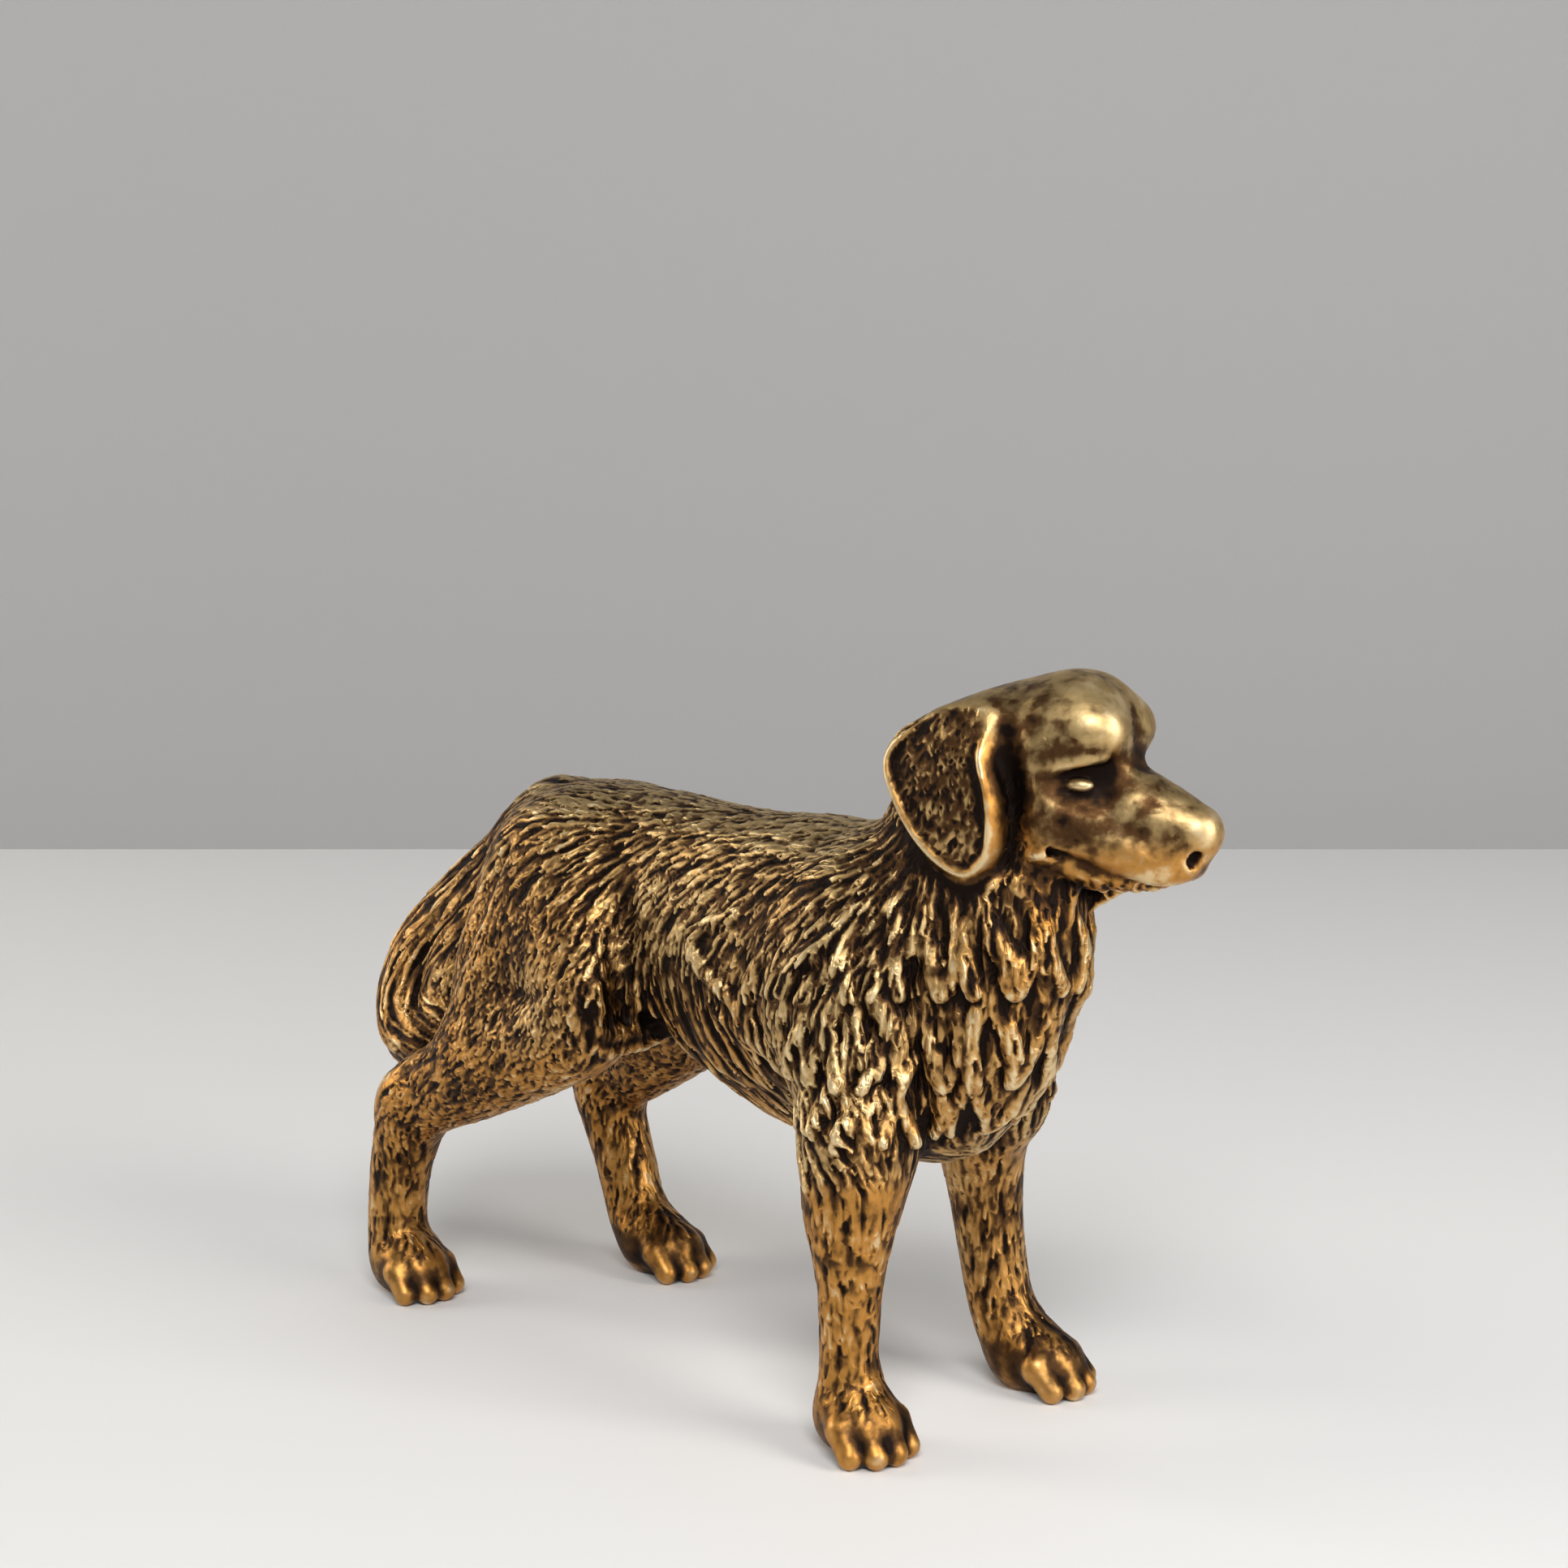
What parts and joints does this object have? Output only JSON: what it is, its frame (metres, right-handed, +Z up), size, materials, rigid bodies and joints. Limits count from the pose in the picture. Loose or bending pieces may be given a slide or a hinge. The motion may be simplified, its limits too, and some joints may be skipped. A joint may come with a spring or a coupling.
{
  "type": "dog figurine",
  "caption": "Standing long-haired dog with hanging ears and a plumed tail, cast in one piece and patinated, resting flat on its paws.",
  "frame": {"origin": "centre of the bounding box at the level of the soles", "axes": "+X forwards towards the nose, +Y to the dog's left, +Z up"},
  "size_m": [0.1744, 0.057, 0.1201],
  "materials": {
    "brass": "antique brass: polished on the raised locks, brow, muzzle and toes, with a dark brown patina in the hollows"
  },
  "bodies": {
    "root": {"dog_figure": "brass"}
  },
  "joints": []
}
